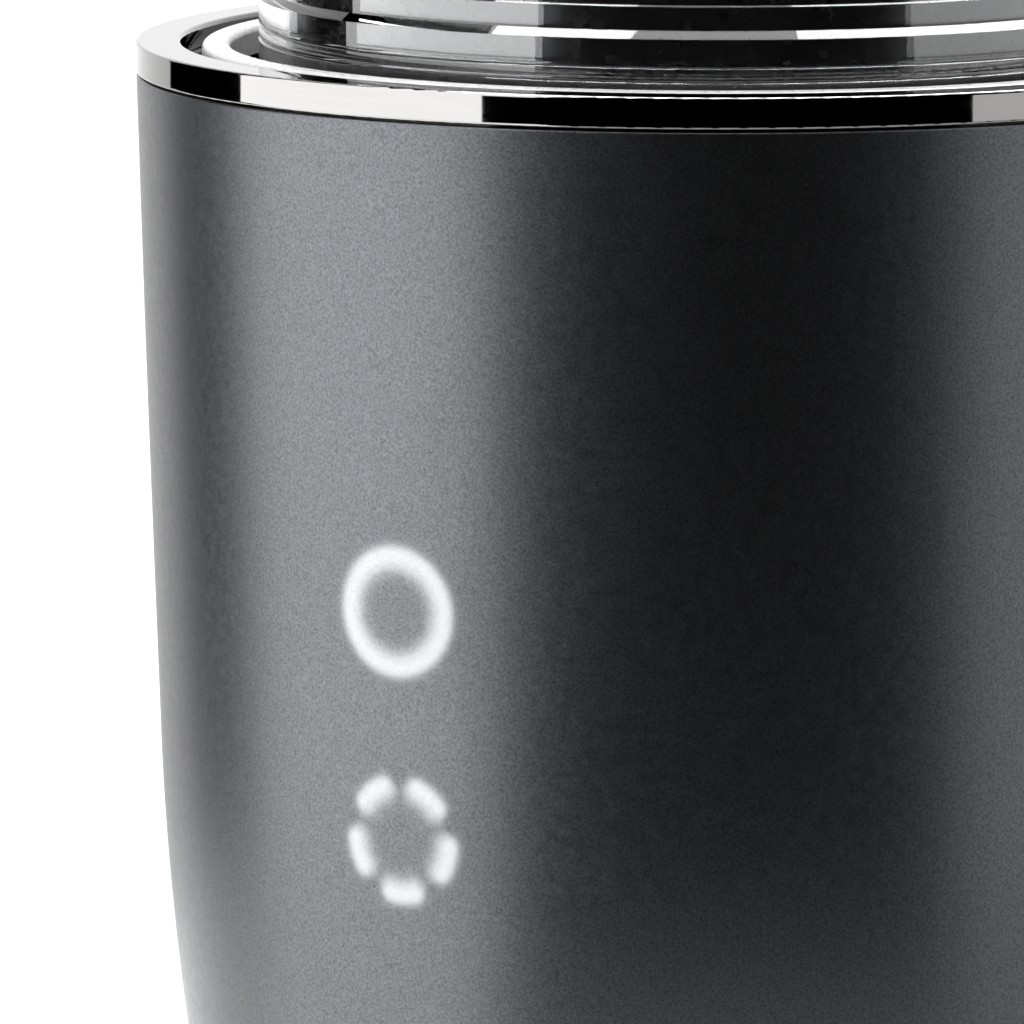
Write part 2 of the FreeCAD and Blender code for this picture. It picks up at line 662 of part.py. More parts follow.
def bracket_arms(low, high):
    """Cross of arms from the hub to the four bolt columns."""
    reach = math.hypot(BOLT_X, BOLT_Y)
    lean = math.degrees(math.atan2(BOLT_Y, BOLT_X))
    bar = block(-reach, reach, -4.5, 4.5, low, high)
    return [turn(bar, lean), turn(bar, -lean)]


def bolt_columns(low, high):
    """Round columns that stand on the stack at its four bolts."""
    return [ring(0, 4.8, low, high, sx * BOLT_X, sy * BOLT_Y) for sx in (-1, 1) for sy in (-1, 1)]


def bolt_holes(low, high):
    """Clearance holes for the four through-bolts."""
    return [ring(0, 2.3, low, high, sx * BOLT_X, sy * BOLT_Y) for sx in (-1, 1) for sy in (-1, 1)]


def upper_bracket():
    """Cast bracket over the stack with the upper bearing pocket."""
    low = UPPER_BEARING_Z - 2.5
    hub = ring(0, BEARING_R + 3.5, low, UPPER_BEARING_Z + BEARING_H + 2)
    body = hub.fuse(bracket_arms(low, low + 4.5) + bolt_columns(STACK_TOP_Z, low + 4.5))
    pocket = ring(0, BEARING_R, UPPER_BEARING_Z, UPPER_BEARING_Z + BEARING_H + 2)
    bore = ring(0, 7.5, low, UPPER_BEARING_Z)
    return body.cut([pocket, bore] + bolt_holes(STACK_TOP_Z, low + 4.5)).removeSplitter()


def lower_bracket():
    """Cast bracket under the stack with the lower bearing pocket and four mount arms."""
    low = LOWER_BEARING_Z - 2.0
    plate_low = 58.0
    plate_high = 61.5
    hub = ring(0, BEARING_R + 3.5, low, plate_high)
    arms = bracket_arms(plate_low, plate_high) + bolt_columns(plate_low, STACK_LOW_Z)
    for angle in (0, 90):
        arms.append(turn(block(-MOUNT_R, MOUNT_R, -5.0, 5.0, plate_low, plate_high), angle))
    pads = [turn(ring(0, 5.0, plate_low, plate_high, MOUNT_R, 0), angle) for angle in QUARTERS]
    body = hub.fuse(arms + pads)
    cuts = [ring(0, BEARING_R, low, LOWER_BEARING_Z + BEARING_H), ring(0, 7.5, low, plate_high)]
    cuts += bolt_holes(plate_low, STACK_LOW_Z)
    cuts += [turn(ring(0, 2.3, plate_low, plate_high, MOUNT_R, 0), angle) for angle in QUARTERS]
    return body.cut(cuts).removeSplitter()


def through_bolts():
    """Four long bolts that clamp the brackets on the stack."""
    top = UPPER_BEARING_Z + 2.0
    bolts = []
    for sx in (-1, 1):
        for sy in (-1, 1):
            bolt = screw(sx * BOLT_X, sy * BOLT_Y, 54.5, top, 2.0, 3.8, 2.6)
            nut = ring(2.0, 3.6, 55.0, 58.0, sx * BOLT_X, sy * BOLT_Y)
            bolts.append(bolt.fuse(nut))
    return Part.makeCompound(bolts)


def motor_mounts():
    """Rubber rings between the shell posts and the lower bracket."""
    one = lathe((2.4, 54.0), (5.6, 54.0, 0.4), (5.6, 58.0, 0.4), (2.4, 58.0))
    one.translate(V(MOUNT_R, 0, 0))
    return Part.makeCompound([turn(one, angle) for angle in QUARTERS])


def mount_screws():
    """Screws through the lower bracket and rubber rings into the shell."""
    one = screw(MOUNT_R, 0, 46.0, 61.5, 1.55, 3.6, 2.0)
    return Part.makeCompound([turn(one, angle) for angle in QUARTERS])


def brush_axis_block(low, high, half_x, half_z, z):
    """Bar along -Y between two radii."""
    return block(-half_x, half_x, -high, -low, z - half_z, z + half_z)


def brush_holders():
    """Brass tubes for the brushes, each on a foot bolted to the lower bracket."""
    z = 70.0
    holders = []
    for angle in (0, 180):
        tube = brush_axis_block(14.5, 36.0, 4.6, 5.2, z)
        tube = tube.cut(brush_axis_block(13.0, 35.0, 3.3, 4.2, z))
        foot = block(-3.4, 3.4, -34.0, -18.0, 61.5, z - 5.2)
        holders.append(turn(tube.fuse(foot).removeSplitter(), angle))
    return Part.makeCompound(holders)


def carbon_brushes():
    """Two carbon blocks that press on the commutator."""
    one = brush_axis_block(12.2, 25.0, 3.2, 4.1, 70.0).cut(ring(0, 12.2, 60, 80))
    return Part.makeCompound([turn(one, angle) for angle in (0, 180)])


def brush_springs():
    """Springs behind the brushes."""
    springs = []
    for angle in (0, 180):
        spring = coil_spring(2.2, 0.3, 1.6, 25.1, 34.9, 0, 0)
        spring.rotate(ORIGIN, V(1, 0, 0), 90)
        spring.translate(V(0, 0, 70.0))
        springs.append(turn(spring, angle))
    return Part.makeCompound(springs)


def fan_duct():
    """Ring round the cooling fan that hangs from the lower bracket."""
    wall = lathe((39.5, 28.0, 0.4), (41.5, 28.0, 0.4), (41.5, 57.8), (39.5, 57.8))
    windows = []
    for angle in (22.5, 157.5, 202.5, 337.5):
        windows.append(sector(38.0, 43.0, 47.0, 57.9, angle - 24, angle + 24))
    return wall.cut(windows)


def motor_shaft():
    """Rotor shaft from below the fan to the drive coupling."""
    return lathe((0, 26.0), (SHAFT_R, 26.0, 0.6), (SHAFT_R, 163.5), (3.0, 163.5), (3.0, 171.0, 0.5),
                 (0, 171.0))


def armature_core():
    """Slotted rotor stack."""
    low = STACK_LOW_Z - 1
    high = STACK_TOP_Z + 1
    mouth = block(ARMATURE_R - 3.0, ARMATURE_R + 1, -0.9, 0.9, low, high)
    channel = ring(0, WIRE_CHANNEL_R + 0.1, low, high, WIRE_CHANNEL_AT_R, 0)
    slots = []
    for index in range(ARMATURE_SLOTS):
        angle = index * 360.0 / ARMATURE_SLOTS
        slots.append(turn(mouth, angle))
        slots.append(turn(channel, angle))
    return ring(SHAFT_R, ARMATURE_R, low, high).cut(slots).removeSplitter()


def armature_windings():
    """End turns above and below the rotor stack, with the wires in its slots."""
    low = STACK_LOW_Z - 1
    high = STACK_TOP_Z + 1
    crown = 7.5
    top = lathe((6.0, high, 0.5), (21.0, high, 0.8), (19.0, high + crown, 3.0), (8.0, high + crown, 1.5))
    bottom = lathe((6.0, low, 0.5), (8.0, low - crown, 1.5), (19.0, low - crown, 3.0), (21.0, low, 0.8))
    wire = ring(0, WIRE_CHANNEL_R, low - 0.5, high + 0.5, WIRE_CHANNEL_AT_R, 0)
    grooves = []
    wires = []
    for index in range(ARMATURE_SLOTS):
        angle = index * 360.0 / ARMATURE_SLOTS
        between = angle + 180.0 / ARMATURE_SLOTS
        grooves.append(turn(block(15.0, 22.0, -0.5, 0.5, high, high + crown + 0.5), between))
        grooves.append(turn(block(15.0, 22.0, -0.5, 0.5, low - crown - 0.5, low), between))
        wires.append(turn(wire, angle))
    return top.fuse([bottom]).cut(grooves).fuse(wires).removeSplitter()


def commutator():
    """Copper bars on an insulating hub."""
    body = lathe((SHAFT_R, 62.5), (12.0, 62.5, 0.3), (12.0, 76.5), (13.2, 76.5), (13.2, 78.5),
                 (SHAFT_R, 78.5))
    slot = block(11.0, 12.5, -0.25, 0.25, 62.0, 76.5)
    slots = [turn(slot, index * 360.0 / COMMUTATOR_BARS) for index in range(COMMUTATOR_BARS)]
    return body.cut(slots).removeSplitter()


def cooling_fan():
    """Radial fan with curved blades under the lower bearing."""
    hub = lathe((SHAFT_R, 30.0), (9.0, 30.0, 0.6), (9.0, 43.5, 0.6), (SHAFT_R, 43.5))
    disc = ring(8.0, FAN_R, 42.0, 43.5)
    blades = []
    for index in range(FAN_BLADES):
        inner = polar(9.5, 0)
        outer = polar(FAN_R - 0.6, -32)
        middle = (inner + outer) * 0.5 + V(2.0, 5.0, 0)
        side = V(0, 0.55, 0)
        front = Part.Arc(inner + side, middle + side, outer + side).toShape()
        back = Part.Arc(outer - side, middle - side, inner - side).toShape()
        tip = Part.LineSegment(outer + side, outer - side).toShape()
        heel = Part.LineSegment(inner - side, inner + side).toShape()
        vane = Part.Face(Part.Wire([front, tip, back, heel])).extrude(V(0, 0, 9.2))
        vane.translate(V(0, 0, 33.0))
        blades.append(turn(vane, index * 360.0 / FAN_BLADES))
    return hub.fuse([disc] + blades).removeSplitter()


def drive_coupling():
    """Toothed driver on top of the motor shaft."""
    low = 163.5
    top = 171.5
    flange_top = low + 2.0
    body = lathe((3.0, low), (13.0, low, 0.5), (13.0, flange_top, 0.5), (8.0, flange_top), (8.0, top, 0.8),
                 (3.0, top))
    teeth = toothed(8.4, 10.6, 7.0, 4.6, COUPLING_TEETH, flange_top - 0.5, top)
    teeth = teeth.cut(ring(0, 5.0, low, top + 1))
    return body.fuse(teeth).removeSplitter()


# ---- cup and blades -------------------------------------------------------------------------

def cup_tab(angle):
    """Lock tab with a ramp under its leading edge."""
    tab = sector(COLLAR_R - 1.0, TAB_R, TAB_LOW_Z, TAB_TOP_Z, angle - TAB_HALF, angle + TAB_HALF)
    ramp_end = math.radians(TAB_HALF - 0.5) * PLUNGER_AT_R
    side = [V(0, -ramp_end - 0.6, TAB_LOW_Z - 0.5), V(0, 0.0, TAB_LOW_Z - 0.5), V(0, 0.0, TAB_LOW_Z),
            V(0, -ramp_end, TAB_LOW_Z + 2.6), V(0, -ramp_end - 0.6, TAB_LOW_Z + 2.6)]
    wedge = Part.Face(Part.makePolygon(side + [side[0]])).extrude(V(12, 0, 0))
    wedge.translate(V(COLLAR_R - 4, 0, 0))
    wedge.rotate(ORIGIN, UP, angle - 0.5)
    return tab.cut(wedge)


def cup():
    """Clear cup standing mouth down, with a stepped collar and lock tabs."""
    inner_r = COLLAR_R - COLLAR_WALL
    ledge_z = 192.4
    step_r = COLLAR_R - COLLAR_STEP
    end_low = CUP_TOP_Z - CUP_CORNER
    inner_end = CUP_END_R - CUP_WALL
    inner_corner = CUP_CORNER - CUP_WALL
    share = CUP_CORNER * (1 - math.sqrt(0.5))
    inner_share = inner_corner * (1 - math.sqrt(0.5))
    edges = []

    def place(point):
        return V(point[0], 0, point[1])

    def line(*points):
        for first, second in zip(points, points[1:]):
            edges.append(Part.LineSegment(place(first), place(second)).toShape())

    def arc(first, middle, last):
        edges.append(Part.Arc(place(first), place(middle), place(last)).toShape())

    groove = 0.22
    low_groove = TOP_Z + 0.3
    high_groove = TOP_Z + 1.95
    line((inner_r, COLLAR_BOTTOM_Z), (COLLAR_R - 0.5, COLLAR_BOTTOM_Z), (COLLAR_R, COLLAR_BOTTOM_Z + 0.5),
         (COLLAR_R, low_groove - groove), (COLLAR_R - groove, low_groove),
         (COLLAR_R - groove, low_groove + 0.1), (COLLAR_R, low_groove + groove + 0.1),
         (COLLAR_R, high_groove - groove),
         (COLLAR_R - groove, high_groove), (COLLAR_R - groove, high_groove + 0.1),
         (COLLAR_R, high_groove + groove + 0.1), (COLLAR_R, COLLAR_STEP_Z - COLLAR_STEP),
         (step_r, COLLAR_STEP_Z), (step_r, SHOULDER_Z), (step_r - 0.15, SHOULDER_Z + 0.15))
    arc((step_r - 0.15, SHOULDER_Z + 0.15), (step_r - 1.1, CUP_FOOT_Z - 3.6), (CUP_FOOT_R, CUP_FOOT_Z))
    line((CUP_FOOT_R, CUP_FOOT_Z), (CUP_END_R, end_low))
    arc((CUP_END_R, end_low), (CUP_END_R - share, CUP_TOP_Z - share), (CUP_END_R - CUP_CORNER, CUP_TOP_Z))
    line((CUP_END_R - CUP_CORNER, CUP_TOP_Z), (0, CUP_TOP_Z), (0, CUP_TOP_Z - CUP_WALL),
         (inner_end - inner_corner, CUP_TOP_Z - CUP_WALL))
    arc((inner_end - inner_corner, CUP_TOP_Z - CUP_WALL),
        (inner_end - inner_share, CUP_TOP_Z - CUP_WALL - inner_share), (inner_end, end_low))
    line((inner_end, end_low), (CUP_FOOT_R - CUP_WALL, CUP_FOOT_Z), (CUP_FOOT_R - CUP_WALL, ledge_z),
         (inner_r, ledge_z), (inner_r, COLLAR_BOTTOM_Z))
    body = turned(Part.Wire(edges))
    return body.fuse([cup_tab(angle) for angle in TAB_ANGLES]).removeSplitter()


def blade_holder():
    """Black holder screwed into the cup's mouth, with a hub for the blade shaft."""
    outer = 49.4
    inner = 46.6
    body = lathe((inner, 163.4, 0.5), (outer, 163.4, 0.5), (outer, 190.4, 0.4), (inner, 190.4, 0.4),
                 (inner, 184.4, 2.0), (20.0, 182.6), (10.0, 186.0, 1.0), (9.0, 190.0, 0.6), (5.4, 190.0),
                 (5.4, 178.0), (9.0, 178.0, 0.6), (9.0, 180.0), (20.0, 180.0), (inner, 181.6, 1.0))
    ribs = [turn(block(8.5, 47.0, -1.0, 1.0, 177.4, 180.6), angle) for angle in range(0, 360, 45)]
    crest = outer + 0.35
    threads = []
    for z in (167.0, 171.0, 175.0):
        threads.append(lathe((outer - 0.2, z - 0.7), (crest, z - 0.2), (crest, z + 0.2),
                             (outer - 0.2, z + 0.7)))
    return body.fuse(ribs + threads).removeSplitter()


def cup_gasket():
    """Rubber ring on the holder's rim."""
    return lathe((46.8, 190.4, 0.3), (49.2, 190.4, 0.3), (49.2, 192.0, 0.5), (46.8, 192.0, 0.5))


def blade_bush():
    """Bronze sleeve that the blade shaft turns in."""
    inner = SHAFT_R + RUNNING_GAP
    return lathe((inner, 178.2), (5.4, 178.2), (5.4, 187.4), (inner, 187.4))


def blade_seal():
    """Lip seal over the bush."""
    inner = SHAFT_R + RUNNING_GAP
    return lathe((inner, 187.6), (5.4, 187.6), (5.4, 189.8), (4.8, 189.8), (4.4, 188.8), (inner, 188.8))


def blade_shaft():
    """Stepped blade shaft with a square for the blades."""
    body = lathe((0, 173.2), (3.0, 173.2), (3.0, 176.4), (SHAFT_R, 176.4), (SHAFT_R, 190.8), (0, 190.8))
    square = block(-2.2, 2.2, -2.2, 2.2, 190.8, 196.2)
    thread = ring(0, 2.2, 196.2, 201.5)
    return body.fuse([square, thread]).removeSplitter()


def blade_wing(length, root_half, tip_half, thick, bend, low):
    """One wing along +X, bent about the edge of the hub disc."""
    outline = [V(7.7, -root_half, 0), V(length, -tip_half, 0), V(length + 1.5, 0.5 * tip_half, 0),
               V(length - 2.0, tip_half, 0), V(7.7, root_half, 0)]
    wing = Part.Face(Part.makePolygon(outline + [outline[0]])).extrude(V(0, 0, thick))
    ground = 1.6
    strip = [V(10, -root_half - 1, 0), V(10, -root_half + ground, 0), V(length + 3, -tip_half + ground, 0),
             V(length + 3, -tip_half - 1, 0)]
    edge_cut = Part.Face(Part.makePolygon(strip + [strip[0]])).extrude(V(0, 0, thick))
    edge_cut.rotate(strip[1], V(1, 0, 0), 38)
    wing = wing.cut(edge_cut)
    wing.rotate(V(8.0, 0, 0), V(0, 1, 0), -bend)
    wing.translate(V(0, 0, low))
    return wing


def blade(low, bends, turn_by):
    """Stamped blade with a square hole and one wing for each bend."""
    disc = ring(0, 9.0, low, low + 1.6)
    wings = [turn(blade_wing(31.0, 5.0, 3.2, 1.6, bend, low), index * 360.0 / len(bends))
             for index, bend in enumerate(bends)]
    body = turn(disc.fuse(wings), turn_by)
    return body.cut(block(-2.2, 2.2, -2.2, 2.2, low - 5, low + 10)).removeSplitter()


def blade_nut():
    """Dome nut that clamps the blades."""
    points = [polar(4.6, 60 * index, 0) for index in range(7)]
    hexagon = Part.Face(Part.makePolygon(points)).extrude(V(0, 0, 4.0))
    dome = lathe((0, 4.0), (4.0, 4.0), (3.6, 6.0, 1.2), (0, 6.4))
    body = hexagon.fuse(dome)
    body.translate(V(0, 0, 196.2))
    return body.cut(ring(0, 2.2, 196.2, 201.5)).removeSplitter()


def driven_coupling():
    """Toothed cup on the lower end of the blade shaft."""
    body = lathe((0, 165.9), (14.0, 165.9, 0.6), (14.0, 176.2, 1.0), (0, 176.2))
    socket = toothed(8.8, 11.0, 8.4, 6.0, COUPLING_TEETH, 165.8, 172.0)
    return body.cut([socket, ring(0, 3.0, 173.2, 176.4), ring(0, 8.6, 165.8, 172.0)]).removeSplitter()


def thrust_washer():
    """Washer between the driven coupling and the bush."""
    return ring(SHAFT_R, 7.6, 176.4, 177.4)


# ---- write every piece ----------------------------------------------------------------------

def build():
    """Return every node's solid by name."""
    start_lens, pulse_lens = lenses()
    nodes = {
        "outer_shell": outer_shell(),
        "trim_ring": trim_ring(),
        "start_ring_lens": start_lens,
        "pulse_ring_lens": pulse_lens,
        "dock_body": dock_body(),
        "dock_ring": dock_ring(),
        "dock_screws": dock_screws(),
        "shaft_seal": shaft_seal(),
        "spring_caps": spring_caps(),
        "base_plate": base_plate(),
        "rubber_feet": rubber_feet(),
        "base_screws": base_screws(),
        "cord_grommet": cord_grommet(),
        "cord_clamp": cord_clamp(),
        "clamp_screws": clamp_screws(),
        "touch_board": touch_board(),
        "touch_board_screws": touch_board_screws(),
        "control_board": control_board(),
        "interlock_switch": interlock_switch(),
        "switch_bracket": switch_bracket(),
        "stator_core": stator_core(),
        "field_coils": field_coils(),
        "upper_bearing": bearing(UPPER_BEARING_Z),
        "lower_bearing": bearing(LOWER_BEARING_Z),
        "upper_bracket": upper_bracket(),
        "lower_bracket": lower_bracket(),
        "through_bolts": through_bolts(),
        "motor_mounts": motor_mounts(),
        "mount_screws": mount_screws(),
        "brush_holders": brush_holders(),
        "carbon_brushes": carbon_brushes(),
        "brush_springs": brush_springs(),
        "fan_duct": fan_duct(),
        "motor_shaft": motor_shaft(),
        "armature_core": armature_core(),
        "armature_windings": armature_windings(),
        "commutator": commutator(),
        "cooling_fan": cooling_fan(),
        "drive_coupling": drive_coupling(),
        "cup": cup(),
        "blade_holder": blade_holder(),
        "cup_gasket": cup_gasket(),
        "blade_bush": blade_bush(),
        "blade_seal": blade_seal(),
        "blade_shaft": blade_shaft(),
        "lower_blade": blade(190.9, (-14, 8, -14, 8), 0),
        "upper_blade": blade(193.0, (38, 38), 45),
        "blade_nut": blade_nut(),
        "driven_coupling": driven_coupling(),
        "thrust_washer": thrust_washer(),
    }
    for number, angle in enumerate(TAB_ANGLES, start=1):
        nodes[f"plunger_{number}"] = plunger(angle, 138.9 if number == 1 else 145.0)
        nodes[f"plunger_spring_{number}"] = plunger_spring(angle)
    return nodes


os.makedirs("parts", exist_ok=True)
for name, shape in build().items():
    state = "ok" if shape.isValid() and shape.Solids else "BAD"
    print(f"{name:20s} {state} solids {len(shape.Solids)} volume {shape.Volume / 1000:.2f} cm3")
    shape.exportStep(f"parts/{name}.step")
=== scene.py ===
import json
import math

import bpy
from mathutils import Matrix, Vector


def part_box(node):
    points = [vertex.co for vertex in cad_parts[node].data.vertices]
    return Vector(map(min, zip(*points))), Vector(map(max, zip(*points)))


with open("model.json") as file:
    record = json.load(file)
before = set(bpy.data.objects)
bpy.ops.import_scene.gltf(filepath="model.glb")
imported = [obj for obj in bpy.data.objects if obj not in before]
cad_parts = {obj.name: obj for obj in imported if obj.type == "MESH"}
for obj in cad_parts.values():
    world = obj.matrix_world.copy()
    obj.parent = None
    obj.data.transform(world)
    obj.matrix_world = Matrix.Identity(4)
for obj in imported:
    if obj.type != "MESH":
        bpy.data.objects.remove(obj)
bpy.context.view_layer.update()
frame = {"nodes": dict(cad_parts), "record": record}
nodes = frame["nodes"]

# Metres. +Z is up, the controls face -Y and the origin is on the table under the axis.

# ---- places taken from the frame ------------------------------------------------------------

TRIM_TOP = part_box("trim_ring")[1].z
START_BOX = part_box("start_ring_lens")
PULSE_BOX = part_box("pulse_ring_lens")
START_RING_Z = (START_BOX[0].z + START_BOX[1].z) / 2
RING_R = 0.0062                # middle of the lit stroke
PULSE_RING_Z = PULSE_BOX[0].z + (START_BOX[1].z - START_BOX[0].z) / 2

# ---- camera and studio ----------------------------------------------------------------------

CAMERA_AZIMUTH = math.radians(33.4)
CAMERA_ELEVATION = math.radians(5.7)
CAMERA_DISTANCE = 1.65
CAMERA_LENS_MM = 498
AIM_Z = 0.1243
AIM_LEFT = 0.0237

WORLD_LIGHT = 1.08
CARD_R = 0.42                  # radius of the ring of light cards round the object
CARD_TOP = 0.90
SOFTBOX = (-67.1, -9.5)        # azimuths in degrees, 0 in front of the object and 90 on its +X side
LEFT_FLAG = (-95.9, -67.1)
FRONT_FLAG = (-9.5, 81.0)
SIDE_CARD = (81.0, 128.0)
BACK_CARD = (-180.0, -95.9)
SOFTBOX_LIGHT = 4.5
SIDE_LIGHT = 1.85
BACK_LIGHT = 1.3
TOP_LIGHT = 4.5
RIM_LIGHT = 18.0               # high card behind the object that draws the bright line on the collar
RIM_NEAR = 0.10                # its reach from the axis, towards the camera and away from it
RIM_FAR = 0.90
RIM_HALF = 0.8
FLOOR_CARD_Z = 0.0008
# floor cards: name, azimuths, inner radius, light
FLOOR_CARDS = (
    ("softbox_floor", SOFTBOX, 0.15, 3.8),
    ("left_floor", (BACK_CARD[0], LEFT_FLAG[1]), 0.12, 2.3),
    ("front_floor", FRONT_FLAG, 0.24, 0.0),
    ("side_floor", SIDE_CARD, 0.15, 1.2),
)
STANDING_CARDS = (
    ("softbox", SOFTBOX, SOFTBOX_LIGHT),
    ("left_flag", LEFT_FLAG, 0.0),
    ("front_flag", FRONT_FLAG, 0.0),
    ("side_card", SIDE_CARD, SIDE_LIGHT),
    ("back_card", BACK_CARD, BACK_LIGHT),
)
CARD_STEPS = 24
FLOOR_HALF = 14.0
LAMP_SIZE = 1.6
LAMP_POWER = 22.0
LAMP_PLACE = (-0.6, -0.4, 2.2)


def around(azimuth, radius, z):
    """Point at an azimuth counted from the front of the object."""
    return Vector((radius * math.sin(azimuth), -radius * math.cos(azimuth), z))


def add_camera():
    """Long-lens camera at the height of the dock, to the right of the controls."""
    data = bpy.data.cameras.new("camera")
    data.sensor_width = 36
    data.lens = CAMERA_LENS_MM
    data.clip_start = 0.05
    data.clip_end = 100
    camera = bpy.data.objects.new("camera", data)
    bpy.context.scene.collection.objects.link(camera)
    flat = CAMERA_DISTANCE * math.cos(CAMERA_ELEVATION)
    height = TRIM_TOP + CAMERA_DISTANCE * math.sin(CAMERA_ELEVATION)
    camera.location = around(CAMERA_AZIMUTH, flat, height)
    right = Vector((math.cos(CAMERA_AZIMUTH), math.sin(CAMERA_AZIMUTH), 0))
    aim = Vector((0, 0, AIM_Z)) - right * AIM_LEFT
    camera.rotation_mode = "QUATERNION"
    camera.rotation_quaternion = (aim - camera.location).to_track_quat("-Z", "Y")
    bpy.context.scene.camera = camera


def new_object(name, vertices, faces):
    """Mesh object from lists of points and faces."""
    mesh = bpy.data.meshes.new(name)
    mesh.from_pydata([tuple(v) for v in vertices], [], faces)
    made = bpy.data.objects.new(name, mesh)
    bpy.context.scene.collection.objects.link(made)
    return made


def card_material(name, strength):
    """Light of one strength, clear to every ray that hasn't been reflected."""
    material = bpy.data.materials.new(name)
    material.use_nodes = True
    tree = material.node_tree
    tree.nodes.clear()
    output = tree.nodes.new("ShaderNodeOutputMaterial")
    light = tree.nodes.new("ShaderNodeEmission")
    light.inputs["Strength"].default_value = strength
    clear = tree.nodes.new("ShaderNodeBsdfTransparent")
    path = tree.nodes.new("ShaderNodeLightPath")
    mix = tree.nodes.new("ShaderNodeMixShader")
    reflected = math_node(tree, "GREATER_THAN", path.outputs["Glossy Depth"], 0.5)
    tree.links.new(reflected, mix.inputs[0])
    tree.links.new(clear.outputs[0], mix.inputs[1])
    tree.links.new(light.outputs[0], mix.inputs[2])
    tree.links.new(mix.outputs[0], output.inputs["Surface"])
    material.cycles.emission_sampling = "NONE"
    return material


def add_reflected(name, points, faces, strength):
    """Light card that shows in reflections only, also through the clear cup."""
    card = new_object(name, points, faces)
    card.data.materials.append(card_material(name, strength))
    card.visible_camera = False
    card.visible_diffuse = False
    card.visible_shadow = False
    card.visible_volume_scatter = False


def card_azimuths(span):
    """Even steps between two azimuths, in radians."""
    return [math.radians(span[0] + (span[1] - span[0]) * i / CARD_STEPS) for i in range(CARD_STEPS + 1)]


def add_card(name, span, strength):
    """Curved light card standing on the floor between two azimuths."""
    points = []
    for azimuth in card_azimuths(span):
        points.append(around(azimuth, CARD_R, 0.001))
        points.append(around(azimuth, CARD_R, CARD_TOP))
    faces = [(2 * i, 2 * i + 2, 2 * i + 3, 2 * i + 1) for i in range(CARD_STEPS)]
    add_reflected(name, points, faces, strength)


def add_floor_card(name, span, inner, strength):
    """Flat light card on the floor between two azimuths, from a radius out to the standing cards."""
    points = []
    for azimuth in card_azimuths(span):
        points.append(around(azimuth, inner, FLOOR_CARD_Z))
        points.append(around(azimuth, CARD_R, FLOOR_CARD_Z))
    faces = [(2 * i, 2 * i + 1, 2 * i + 3, 2 * i + 2) for i in range(CARD_STEPS)]
    add_reflected(name, points, faces, strength)


def add_top_card():
    """Round light card over the object."""
    steps = 48
    points = [around(2 * math.pi * i / steps, CARD_R, CARD_TOP) for i in range(steps)]
    add_reflected("top_card", points, [tuple(range(steps))], TOP_LIGHT)


def add_rim_card():
    """Strong card under the top card, from just past the axis to well behind the object."""
    right = Vector((math.cos(CAMERA_AZIMUTH), math.sin(CAMERA_AZIMUTH), 0))
    near = around(CAMERA_AZIMUTH, RIM_NEAR, CARD_TOP - 0.002)
    far = around(CAMERA_AZIMUTH, -RIM_FAR, CARD_TOP - 0.002)
    half = right * RIM_HALF
    add_reflected("rim_card", [near - half, near + half, far + half, far - half], [(0, 1, 2, 3)], RIM_LIGHT)


def add_floor():
    """Wide pale floor."""
    half = FLOOR_HALF
    floor = new_object("floor", [(-half, -half, 0), (half, -half, 0), (half, half, 0), (-half, half, 0)],
                       [(0, 1, 2, 3)])
    material, tree, shader = principled("floor")
    shade = noise(tree, 6.0, 3.0)
    set_color(tree, shader, shade, (0.88, 0.88, 0.88), (0.91, 0.91, 0.91))
    shader.inputs["Roughness"].default_value = 0.85
    floor.data.materials.append(material)


def add_top_lamp():
    """Soft lamp that gives the floor its shadow."""
    data = bpy.data.lights.new("top_lamp", "AREA")
    data.shape = "DISK"
    data.size = LAMP_SIZE
    data.energy = LAMP_POWER
    lamp = bpy.data.objects.new("top_lamp", data)
    lamp.location = LAMP_PLACE
    lamp.rotation_mode = "QUATERNION"
    lamp.rotation_quaternion = (Vector((0, 0, 0.1)) - lamp.location).to_track_quat("-Z", "Y")
    lamp.visible_glossy = False
    lamp.visible_camera = False
    bpy.context.scene.collection.objects.link(lamp)


def add_studio():
    """White surroundings, floor, cards and lamp."""
    world = bpy.data.worlds.new("studio")
    world.use_nodes = True
    background = world.node_tree.nodes["Background"]
    background.inputs["Color"].default_value = (1, 1, 1, 1)
    background.inputs["Strength"].default_value = WORLD_LIGHT
    bpy.context.scene.world = world
    bpy.context.scene.view_settings.view_transform = "Standard"
    add_floor()
    for name, span, strength in STANDING_CARDS:
        add_card(name, span, strength)
    for name, span, inner, strength in FLOOR_CARDS:
        add_floor_card(name, span, inner, strength)
    add_top_card()
    add_rim_card()
    add_top_lamp()


# ---- node helpers ---------------------------------------------------------------------------

def principled(name):
    """New material with a Principled shader."""
    material = bpy.data.materials.new(name)
    material.use_nodes = True
    tree = material.node_tree
    return material, tree, tree.nodes["Principled BSDF"]


def place(tree):
    """Object-space position, in metres."""
    return tree.nodes.new("ShaderNodeTexCoord").outputs["Object"]


def stretched(tree, scale):
    """Object-space position scaled by a vector."""
    node = tree.nodes.new("ShaderNodeMapping")
    tree.links.new(place(tree), node.inputs["Vector"])
    node.inputs["Scale"].default_value = scale
    return node.outputs["Vector"]


def math_node(tree, operation, first, second=0.0):
    """One math node; an argument is a number or a socket."""
    node = tree.nodes.new("ShaderNodeMath")
    node.operation = operation
    for index, value in enumerate((first, second)):
        if isinstance(value, (int, float)):
            node.inputs[index].default_value = value
        else:
            tree.links.new(value, node.inputs[index])
    return node.outputs[0]


def noise(tree, scale, detail=2.0, vector=None):
    """Noise value from 0 to 1."""
    node = tree.nodes.new("ShaderNodeTexNoise")
    node.inputs["Scale"].default_value = scale
    node.inputs["Detail"].default_value = detail
    tree.links.new(place(tree) if vector is None else vector, node.inputs["Vector"])
    return node.outputs["Fac"]


